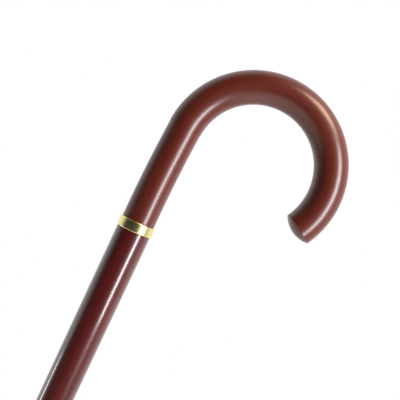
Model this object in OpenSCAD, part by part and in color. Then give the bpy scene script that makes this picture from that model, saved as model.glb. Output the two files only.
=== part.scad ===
// Crook-handled walking cane in two turned wooden parts, joined under a brass collar.
// +Z runs up the shaft, +X is the way the crook turns, and the crook lies in the plane Y = 0.
// The origin is on the handle's centreline at its crown, where the hand holds it.

/* [Cane] */
// Overall height, from the sole of the rubber tip to the top of the crook
cane_h = 914; // [760:1:1000]

/* [Crook handle] */
// Diameter of the crook's bent bar
crook_d = 21.6; // [20:0.1:26]
// Diameter of the handle's neck, above the collar
neck_d = 21.2; // [19:0.1:22.4]
// Radius of the crook, measured to its centreline
crook_r = 48.6; // [42:0.2:60]
// Angle through which the crook turns above the neck
crook_sweep = 207; // [180:1:215]
// Radius of the neck's slight bow, to its centreline
neck_bow_r = 900; // [600:10:1500]
// Angle through which the neck bows before the crook starts
neck_bow_a = 3.6; // [1:0.1:6]
// Straight length of the neck above the collar
neck_h = 9; // [4:0.5:30]
// Height of the domed end of the crook
nose_dome_h = 3.5; // [1:0.1:6]
// Chamfer around the handle's lower end
neck_chamfer = 0.4; // [0.1:0.1:1]

/* [Collar] */
// Outer diameter of the brass collar
collar_d = 23.2; // [22.6:0.1:28]
// Height of the brass collar
collar_h = 6.4; // [4:0.1:20]
// Radius of the collar's rounded edges
collar_edge_r = 0.4; // [0.1:0.1:1]

/* [Shaft] */
// Diameter of the shaft just under the collar
shaft_top_d = 22; // [19:0.1:22.4]
// Diameter of the shaft where its taper ends, above the rubber tip
shaft_low_d = 17.2; // [16.8:0.1:19]
// Diameter of the turned seat that the rubber tip is pushed onto
seat_d = 16.4; // [14:0.1:16.6]
// Length of the turned seat
seat_h = 34; // [33:0.5:60]
// Diameter of the spigot that carries the collar
spigot_d = 17; // [15:0.1:18]
// Chamfer around both ends of the shaft
shaft_chamfer = 0.4; // [0.1:0.1:1]

/* [Screw joint] */
// Outer diameter of the hanger bolt
bolt_d = 8; // [6:0.1:9]
// Thread pitch of the hanger bolt
bolt_pitch = 1.25; // [1:0.05:1.5]
// Depth of the hanger bolt in the handle
bolt_in_handle = 30; // [20:1:50]
// Length of the hanger bolt below the handle
bolt_out = 24; // [20:1:26]
// Outer diameter of the threaded insert in the shaft
insert_d = 12; // [11:0.1:13]
// Length of the threaded insert
insert_h = 20; // [14:1:26]

/* [Rubber tip] */
// Diameter of the rubber tip at the floor
sole_d = 34; // [28:1:42]
// Diameter of the rubber tip at its mouth
tip_mouth_d = 23; // [21.5:0.5:26]
// Depth of the socket above the washer
socket_h = 32; // [20:1:33]
// Thickness of rubber under the washer
sole_t = 10; // [7:0.5:16]
// Thickness of the steel washer in the socket
washer_t = 2; // [1:0.1:3]
// Width of each ring groove in the sole
groove_w = 1.6; // [1:0.1:2]
// Depth of each ring groove in the sole
groove_depth = 1.8; // [0.5:0.1:3]

/* [Hidden] */
$fn = 96;

// Running clearance all round between pieces that slide or turn
run_gap = 0.05;
// Glue line all round the bolt and the insert
glue_gap = 0.05;
// Space left beyond the end of a piece in its hole
end_gap = 2;
// Gap between the spigot's top and the handle, so that the collar takes the clamping
clamp_gap = 0.2;
// Depth of the bolt's thread
thread_depth = 0.6;
// Ridges of the insert that hold it in the glue
insert_ridges = 4;
insert_ridge_depth = 0.5;
// Rings cut in the sole
grooves = 3;
// Height of the tip's straight foot, and of its rolled mouth
foot_h = 7;
mouth_bead_r = 1.3;
// Narrow flat rim around the domed end
nose_rim = 0.1;
// How far the domed end's core reaches back into the bent bar
nose_core_h = 0.5;
// How far the neck reaches into the wider bar of the crook
neck_lap = 2;
// Facets of the long bow of the neck, which only the drawn mesh has
bow_fn = 1440;

crook_centre_z = -crook_r;
neck_lap_a = neck_lap / neck_bow_r * 180 / PI;
bow_shift = neck_bow_r - crook_r;
bow_x = bow_shift * cos(neck_bow_a);
bow_z = crook_centre_z - bow_shift * sin(neck_bow_a);
shaft_x = bow_x - neck_bow_r;
nose_a = 180 - neck_bow_a - crook_sweep;
collar_top = bow_z - neck_h;
shoulder_z = collar_top - collar_h;
spigot_top = collar_top - clamp_gap;
sole_z = crook_d / 2 - cane_h;
socket_floor = sole_z + sole_t;
shaft_end = socket_floor + washer_t;
seat_top = shaft_end + seat_h;
tip_top = shaft_end + socket_h;
bolt_low = collar_top - bolt_out;
bolt_high = collar_top + bolt_in_handle;
insert_low = spigot_top - insert_h;
bolt_hole_low = min(bolt_low, insert_low) - end_gap;

module on_axis(z) {
    translate([shaft_x, 0, z]) children();
}

// A round bar of diameter d bent to radius r about the Y axis, from angle a through sweep degrees
module bent_bar(d, r, a, sweep, facets) {
    rotate([90, 0, 0]) rotate([0, 0, a])
        rotate_extrude(angle = sweep, $fn = facets)
            translate([r, 0]) circle(d = d, $fn = 96);
}

// Places a piece on the crook's centreline at angle a, with its +Z towards the nose
module at_crook(a) {
    translate([crook_r * cos(a), 0, crook_centre_z + crook_r * sin(a)])
        rotate([0, 180 - a, 0]) children();
}

// The domed end, standing on z = 0, with a core that reaches back into the bent bar
module nose_dome() {
    base_r = crook_d / 2 - nose_rim;
    dome_r = (base_r * base_r + nose_dome_h * nose_dome_h) / (2 * nose_dome_h);
    rotate_extrude()
        union() {
            intersection() {
                translate([0, nose_dome_h - dome_r]) circle(r = dome_r);
                square([base_r, nose_dome_h]);
            }
            translate([0, -nose_core_h]) square([base_r, nose_core_h]);
        }
}

// Half outline of a round bar with the same chamfer at both ends
module bar_outline(r, h, chamfer) {
    polygon([[0, 0], [r - chamfer, 0], [r, chamfer], [r, h - chamfer], [r - chamfer, h], [0, h]]);
}

module crook_handle() {
    neck_r = neck_d / 2;
    color("#5a2018")
    difference() {
        union() {
            translate([0, 0, crook_centre_z]) bent_bar(crook_d, crook_r, nose_a, crook_sweep, 192);
            translate([bow_x, 0, bow_z])
                bent_bar(neck_d, neck_bow_r, 180 - neck_bow_a - neck_lap_a, neck_bow_a + neck_lap_a,
                         bow_fn);
            on_axis(collar_top)
                rotate_extrude()
                    polygon([[0, 0], [neck_r - neck_chamfer, 0], [neck_r, neck_chamfer],
                             [neck_r, neck_h], [0, neck_h]]);
            at_crook(nose_a) nose_dome();
        }
        on_axis(collar_top - 1)
            cylinder(r = bolt_d / 2 + glue_gap, h = 1 + bolt_in_handle + end_gap);
    }
}

// Steel bolt with a thread at both ends and a plain middle inside the collar
module hanger_bolt() {
    r = bolt_d / 2;
    plain_low = spigot_top - 1;
    turns = floor((plain_low - bolt_low) / bolt_pitch);
    color("#9a9da1")
    on_axis(0)
    difference() {
        translate([0, 0, bolt_low])
            rotate_extrude() bar_outline(r, bolt_high - bolt_low, thread_depth);
        for (k = [1 : turns - 1])
            translate([0, 0, bolt_low + k * bolt_pitch])
                rotate_extrude()
                    polygon([[r - thread_depth, 0], [r + 0.1, -bolt_pitch / 3],
                             [r + 0.1, bolt_pitch / 3]]);
    }
}

module collar_band() {
    wall = (collar_d - spigot_d) / 2 - run_gap;
    color("#c9b458")
    on_axis(shoulder_z)
        rotate_extrude()
            translate([spigot_d / 2 + run_gap, 0])
                union() {
                    square([wall - collar_edge_r, collar_h]);
                    translate([0, collar_edge_r])
                        square([wall, collar_h - 2 * collar_edge_r]);
                    for (z = [collar_edge_r, collar_h - collar_edge_r])
                        translate([wall - collar_edge_r, z]) circle(r = collar_edge_r);
                }
}

module shaft() {
    top_r = shaft_top_d / 2;
    low_r = shaft_low_d / 2;
    seat_r = seat_d / 2;
    c = shaft_chamfer;
    color("#4c1014")
    difference() {
        on_axis(0)
            rotate_extrude()
                polygon([[0, shaft_end], [seat_r - c, shaft_end], [seat_r, shaft_end + c],
                         [seat_r, seat_top], [low_r - c / 2, seat_top], [low_r, seat_top + c / 2],
                         [top_r, shoulder_z - c], [top_r - c, shoulder_z],
                         [spigot_d / 2, shoulder_z], [spigot_d / 2, spigot_top - c],
                         [spigot_d / 2 - c, spigot_top], [0, spigot_top]]);
        on_axis(insert_low)
            cylinder(r = insert_d / 2 + glue_gap, h = insert_h + 1);
        on_axis(bolt_hole_low)
            cylinder(r = bolt_d / 2 + run_gap, h = insert_low - bolt_hole_low + 1);
    }
}

module shaft_insert() {
    ridge_step = insert_h / (insert_ridges + 1);
    r = insert_d / 2;
    color("#c9b458")
    on_axis(insert_low)
    difference() {
        rotate_extrude() bar_outline(r, insert_h, insert_ridge_depth);
        for (k = [1 : insert_ridges])
            translate([0, 0, k * ridge_step])
                rotate_extrude()
                    polygon([[r - insert_ridge_depth, 0], [r + 0.1, -ridge_step / 4],
                             [r + 0.1, ridge_step / 4]]);
        translate([0, 0, -1]) cylinder(r = bolt_d / 2 + run_gap, h = insert_h + 2);
    }
}

module rubber_tip() {
    socket_r = seat_d / 2 + run_gap;
    mouth_r = tip_mouth_d / 2;
    sole_r = sole_d / 2;
    h = tip_top - sole_z;
    groove_step = (sole_r - 3) / (grooves + 1);
    color("#1b1b1c")
    on_axis(sole_z)
    difference() {
        rotate_extrude()
            union() {
                polygon([[0, 0], [sole_r - 1, 0], [sole_r, 1], [sole_r, foot_h],
                         [mouth_r + 1, foot_h + 8], [mouth_r, foot_h + 16],
                         [mouth_r, h - mouth_bead_r], [mouth_r - mouth_bead_r, h], [0, h]]);
                translate([mouth_r - mouth_bead_r / 2, h - mouth_bead_r])
                    circle(r = mouth_bead_r);
            }
        translate([0, 0, sole_t]) cylinder(r = socket_r, h = h);
        for (k = [1 : grooves])
            translate([0, 0, -1])
                rotate_extrude()
                    translate([k * groove_step, 0])
                        square([groove_w, groove_depth + 1]);
    }
}

module tip_washer() {
    color("#9a9da1")
    on_axis(socket_floor) cylinder(d = seat_d, h = washer_t);
}

crook_handle();
hanger_bolt();
collar_band();
shaft();
shaft_insert();
rubber_tip();
tip_washer();
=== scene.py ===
import math
import bpy
from mathutils import Matrix, Vector


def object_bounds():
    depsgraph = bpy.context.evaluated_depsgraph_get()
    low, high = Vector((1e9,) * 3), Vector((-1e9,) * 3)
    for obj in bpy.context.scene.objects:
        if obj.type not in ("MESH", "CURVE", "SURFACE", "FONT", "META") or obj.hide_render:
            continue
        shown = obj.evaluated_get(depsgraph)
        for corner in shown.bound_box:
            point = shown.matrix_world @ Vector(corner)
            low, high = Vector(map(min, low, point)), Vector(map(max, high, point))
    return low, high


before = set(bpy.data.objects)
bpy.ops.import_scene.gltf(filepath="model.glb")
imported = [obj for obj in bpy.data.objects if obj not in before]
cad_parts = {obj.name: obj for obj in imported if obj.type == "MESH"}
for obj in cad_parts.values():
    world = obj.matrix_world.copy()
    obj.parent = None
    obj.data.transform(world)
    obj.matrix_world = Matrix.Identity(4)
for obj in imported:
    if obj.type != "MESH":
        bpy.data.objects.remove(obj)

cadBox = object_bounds()
print("scene: frame loaded")


class Value:
    # Wraps a number socket, so that an expression adds its Math nodes

    def __init__(self, material, socket):
        self.material = material
        self.socket = socket

    def math(self, operation, first, second):
        settings = {"operation": operation}
        return self.material.value("ShaderNodeMath", settings, {0: first, 1: second})

    def __add__(self, other):
        return self.math("ADD", self, other)

    def __radd__(self, other):
        return self.math("ADD", other, self)

    def __sub__(self, other):
        return self.math("SUBTRACT", self, other)

    def __rsub__(self, other):
        return self.math("SUBTRACT", other, self)

    def __mul__(self, other):
        return self.math("MULTIPLY", self, other)

    def __rmul__(self, other):
        return self.math("MULTIPLY", other, self)

    def __lt__(self, other):
        return self.math("LESS_THAN", self, other)

    def __pow__(self, other):
        return self.math("POWER", self, other)


class Material:
    # One Principled shader, and one method that adds any other node

    def __init__(self, name, **fixed):
        self.data = bpy.data.materials.new(name)
        self.data.use_nodes = True
        self.tree = self.data.node_tree
        self.shader = self.tree.nodes["Principled BSDF"]
        for key, value in fixed.items():
            self.shader.inputs[key.replace("_", " ")].default_value = value

    def node(self, kind, settings=None, inputs=None, output=0):
        node = self.tree.nodes.new(kind)
        for key, value in (settings or {}).items():
            setattr(node, key, value)
        for key, value in (inputs or {}).items():
            self.feed(node.inputs[key], value)
        return node.outputs[output]

    def value(self, kind, settings=None, inputs=None, output=0):
        return Value(self, self.node(kind, settings, inputs, output))

    def feed(self, socket, value):
        if isinstance(value, Value):
            value = value.socket
        if isinstance(value, bpy.types.NodeSocket):
            self.tree.links.new(value, socket)
        else:
            socket.default_value = value

    def use(self, socketName, value):
        self.feed(self.shader.inputs[socketName], value)

    def axes(self):
        place = self.node("ShaderNodeTexCoord", output="Object")
        return [self.value("ShaderNodeSeparateXYZ", inputs={0: place}, output=k) for k in range(3)]

    def join(self, x, y, z):
        return self.node("ShaderNodeCombineXYZ", inputs={0: x, 1: y, 2: z})

    def noise(self, vector, scale, detail):
        inputs = {"Vector": vector, "Scale": scale, "Detail": detail}
        return self.value("ShaderNodeTexNoise", inputs=inputs)

    def mix(self, factor, first, second):
        # Sockets 6 and 7 and output 2 are the Mix node's colour ones
        settings = {"data_type": "RGBA"}
        return self.node("ShaderNodeMix", settings, {0: factor, 6: first, 7: second}, output=2)

    def bump(self, height, strength, distance):
        inputs = {"Height": height, "Strength": strength, "Distance": distance}
        self.use("Normal", self.node("ShaderNodeBump", inputs=inputs))


grain = {
    "along": 14,             # streaks per metre along the bar
    "across": 420,           # and across it
    "streakDetail": 4,
    "poreAlong": 60,
    "poreAcross": 2600,
    "poreDetail": 2,
    "streakShare": 0.75,     # of the tone, the rest being pores
    "darkest": 0.36,         # noise level of the darkest wood
    "lightest": 0.66,
    "poreRoughness": 0.05,
    "bumpStrength": 0.012,
    "bumpDepth": 0.0002,
}


def stretched(mat, across, y, length, perAcross, perAlong, detail):
    return mat.noise(mat.join(across * perAcross, y * perAcross, length * perAlong), 1, detail)


def finishWood(mat, across, y, length, look):
    # Long streaks and fine pores, both drawn out along the bar
    streak = stretched(mat, across, y, length, grain["across"], grain["along"], grain["streakDetail"])
    pore = stretched(mat, across, y, length, grain["poreAcross"], grain["poreAlong"], grain["poreDetail"])
    level = streak * grain["streakShare"] + pore * (1 - grain["streakShare"])
    levels = {0: level, 1: grain["darkest"], 2: grain["lightest"]}
    tone = mat.value("ShaderNodeMapRange", inputs=levels)
    mat.use("Base Color", mat.mix(tone, look["darkStain"], look["lightStain"]))
    mat.use("Roughness", look["roughness"] + pore * grain["poreRoughness"])
    mat.bump(pore, grain["bumpStrength"], grain["bumpDepth"])


handleLook = {
    "crookRadius": 0.0486,   # of the bar's centreline, about a centre below the origin
    "darkStain": (0.078, 0.0115, 0.0065, 1),
    "lightStain": (0.108, 0.0175, 0.0095, 1),
    "roughness": 0.32,
    "coat": 0.35,
    "coatRoughness": 0.22,
}


def makeHandleWood():
    # The grain follows the bend: straight in the neck, round the crook above it
    mat = Material("handle_wood", Coat_Weight=handleLook["coat"], Coat_Roughness=handleLook["coatRoughness"])
    x, y, z = mat.axes()
    radius = handleLook["crookRadius"]
    rise = z + radius
    reach = (x * x + rise * rise) ** 0.5
    angle = rise.math("ARCTAN2", rise, x)
    inNeck = (rise < 0) * (x < 0)
    length = inNeck * rise + (1 - inNeck) * (math.pi - angle) * radius
    across = inNeck * (x + radius) + (1 - inNeck) * (radius - reach)
    finishWood(mat, across, y, length, handleLook)
    return mat.data


shaftLook = {
    "axisX": -0.05028,       # where the straight shaft's middle stands
    "darkStain": (0.058, 0.0044, 0.0042, 1),
    "lightStain": (0.082, 0.0070, 0.0062, 1),
    "roughness": 0.3,
    "coat": 0.8,
    "coatRoughness": 0.1,
}


def makeShaftWood():
    mat = Material("shaft_wood", Coat_Weight=shaftLook["coat"], Coat_Roughness=shaftLook["coatRoughness"])
    x, y, z = mat.axes()
    finishWood(mat, x - shaftLook["axisX"], y, z, shaftLook)
    return mat.data


brassLook = {
    "bright": (0.92, 0.84, 0.42, 1),
    "dull": (0.82, 0.72, 0.3, 1),
    "dullPatches": 180,      # per metre, as are all noise scales here
    "dullDetail": 3,
    "linesAround": 300,
    "linesUp": 9000,         # fine turning marks around the band
    "linesDetail": 2,
    "roughness": 0.24,
    "lineRoughness": 0.07,
    "bumpStrength": 0.03,
    "bumpDepth": 0.0001,
}


def makeBrass():
    look = brassLook
    mat = Material("polished_brass", Metallic=1.0)
    x, y, z = mat.axes()
    lines = stretched(mat, x, y, z, look["linesAround"], look["linesUp"], look["linesDetail"])
    dull = mat.noise(mat.join(x, y, z), look["dullPatches"], look["dullDetail"])
    mat.use("Base Color", mat.mix(dull, look["bright"], look["dull"]))
    mat.use("Roughness", look["roughness"] + lines * look["lineRoughness"])
    mat.bump(lines, look["bumpStrength"], look["bumpDepth"])
    return mat.data


steelLook = {
    "bright": (0.55, 0.56, 0.58, 1),
    "grey": (0.42, 0.43, 0.45, 1),
    "mottle": 500,
    "mottleDetail": 3,
    "roughness": 0.28,
    "mottleRoughness": 0.15,
}


def makeSteel():
    look = steelLook
    mat = Material("zinc_plated_steel", Metallic=1.0)
    mottle = mat.noise(mat.join(*mat.axes()), look["mottle"], look["mottleDetail"])
    mat.use("Base Color", mat.mix(mottle, look["bright"], look["grey"]))
    mat.use("Roughness", look["roughness"] + mottle * look["mottleRoughness"])
    return mat.data


rubberLook = {
    "black": (0.012, 0.012, 0.013, 1),
    "worn": (0.024, 0.023, 0.023, 1),
    "cloud": 90,
    "cloudDetail": 4,
    "speckle": 2400,
    "speckleDetail": 2,
    "roughness": 0.58,
    "speckleRoughness": 0.2,
    "bumpStrength": 0.15,
    "bumpDepth": 0.0002,
}


def makeRubber():
    look = rubberLook
    mat = Material("black_rubber")
    place = mat.join(*mat.axes())
    cloud = mat.noise(place, look["cloud"], look["cloudDetail"])
    speckle = mat.noise(place, look["speckle"], look["speckleDetail"])
    mat.use("Base Color", mat.mix(cloud, look["black"], look["worn"]))
    mat.use("Roughness", look["roughness"] + speckle * look["speckleRoughness"])
    mat.bump(speckle, look["bumpStrength"], look["bumpDepth"])
    return mat.data


def dress(material, *nodeNames):
    for nodeName in nodeNames:
        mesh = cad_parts[nodeName].data
        mesh.materials.clear()
        mesh.materials.append(material)


dress(makeHandleWood(), "crook_handle")
dress(makeShaftWood(), "shaft")
dress(makeBrass(), "collar_band", "shaft_insert")
dress(makeSteel(), "hanger_bolt", "tip_washer")
dress(makeRubber(), "rubber_tip")
print("scene: materials on the pieces")


photoView = {
    "imagePx": 400,
    "focalPx": 700,
    "metresPerPx": 0.000625,  # in the crook's plane
    "sensorMm": 36,
    "leanDeg": 25.08,        # of the upright cane in the picture, to the right
    "centreX": -0.0210,      # point of the crook's plane at the picture's centre
    "centreZ": -0.0825,
}


def addCamera():
    # Square to the crook's plane, and rolled until the cane leans as in the picture
    view = photoView
    lean = math.radians(view["leanDeg"])
    distance = view["focalPx"] * view["metresPerPx"]
    data = bpy.data.cameras.new("photoCamera")
    data.sensor_width = view["sensorMm"]
    data.lens = view["focalPx"] / view["imagePx"] * view["sensorMm"]
    camera = bpy.data.objects.new("photoCamera", data)
    bpy.context.scene.collection.objects.link(camera)
    right = Vector((math.cos(lean), 0, math.sin(lean)))
    up = Vector((-math.sin(lean), 0, math.cos(lean)))
    back = Vector((0, -1, 0))
    turn = Matrix((right, up, back)).transposed().to_4x4()
    place = (view["centreX"], -distance, view["centreZ"])
    camera.matrix_world = Matrix.Translation(place) @ turn
    bpy.context.scene.camera = camera


studio = {
    "fadeFrom": -0.35,       # direction's Y at which the world starts to brighten
    "fadeTo": 0.25,
    "frontLevel": 0.02,
    "backLevel": 1.0,
    "floorRadius": 1.4,
    "floorCorners": 96,
    "floorGap": 0.0003,      # under the rubber tip
    "floorColour": (0.86, 0.86, 0.86, 1),
    "floorRoughness": 0.7,
}


def addWorld():
    # White for the camera and behind the cane, dim in front of it
    world = bpy.data.worlds.new("studio")
    bpy.context.scene.world = world
    world.use_nodes = True
    tree = world.node_tree
    background = tree.nodes["Background"]
    path = tree.nodes.new("ShaderNodeLightPath")
    coord = tree.nodes.new("ShaderNodeTexCoord")
    axes = tree.nodes.new("ShaderNodeSeparateXYZ")
    fade = tree.nodes.new("ShaderNodeMapRange")
    strongest = tree.nodes.new("ShaderNodeMath")
    strongest.operation = "MAXIMUM"
    for slot, key in enumerate(("fadeFrom", "fadeTo", "frontLevel", "backLevel"), start=1):
        fade.inputs[slot].default_value = studio[key]
    tree.links.new(coord.outputs["Generated"], axes.inputs[0])
    tree.links.new(axes.outputs["Y"], fade.inputs[0])
    tree.links.new(path.outputs["Is Camera Ray"], strongest.inputs[0])
    tree.links.new(fade.outputs[0], strongest.inputs[1])
    tree.links.new(strongest.outputs[0], background.inputs["Strength"])
    background.inputs["Color"].default_value = (1, 1, 1, 1)


def addFloor():
    low = cadBox[0][2] - studio["floorGap"]
    bpy.ops.mesh.primitive_circle_add(vertices=studio["floorCorners"], radius=studio["floorRadius"],
                                      fill_type="NGON", location=(0, 0, low))
    floor = bpy.context.object
    floor.name = "floor"
    mat = Material("pale_floor", Roughness=studio["floorRoughness"], Base_Color=studio["floorColour"])
    floor.data.materials.append(mat.data)


softboxes = {
    "keyRight": {
        "place": (0.74, -0.64, 0.04),
        "target": (-0.02, 0, -0.1),
        "size": (0.26, 0.92),
        "watts": 15,
        "colour": (1.0, 0.97, 1.0),
    },
    "stripLeft": {
        "place": (-1.03, 0.1, -0.85),
        "target": (-0.05, 0, -0.35),
        "size": (0.14, 0.7),
        "watts": 4,
        "colour": (0.97, 0.98, 1.0),
    },
    "warmTop": {
        "place": (0.5, -0.5, 0.9),
        "target": (0, 0, -0.05),
        "size": (0.5, 0.5),
        "watts": 12,
        "colour": (1.0, 0.74, 0.54),
    },
}


def addSoftbox(name, box):
    data = bpy.data.lights.new(name, "AREA")
    data.shape = "RECTANGLE"
    data.size, data.size_y = box["size"]
    data.energy = box["watts"]
    data.color = box["colour"]
    lamp = bpy.data.objects.new(name, data)
    bpy.context.scene.collection.objects.link(lamp)
    aim = Vector(box["target"]) - Vector(box["place"])
    lamp.location = box["place"]
    lamp.rotation_mode = "QUATERNION"
    lamp.rotation_quaternion = aim.to_track_quat("-Z", "Y")


addCamera()
addWorld()
addFloor()
for boxName, box in softboxes.items():
    addSoftbox(boxName, box)
bpy.context.scene.view_settings.view_transform = "Standard"
print("scene: camera, lights and floor")
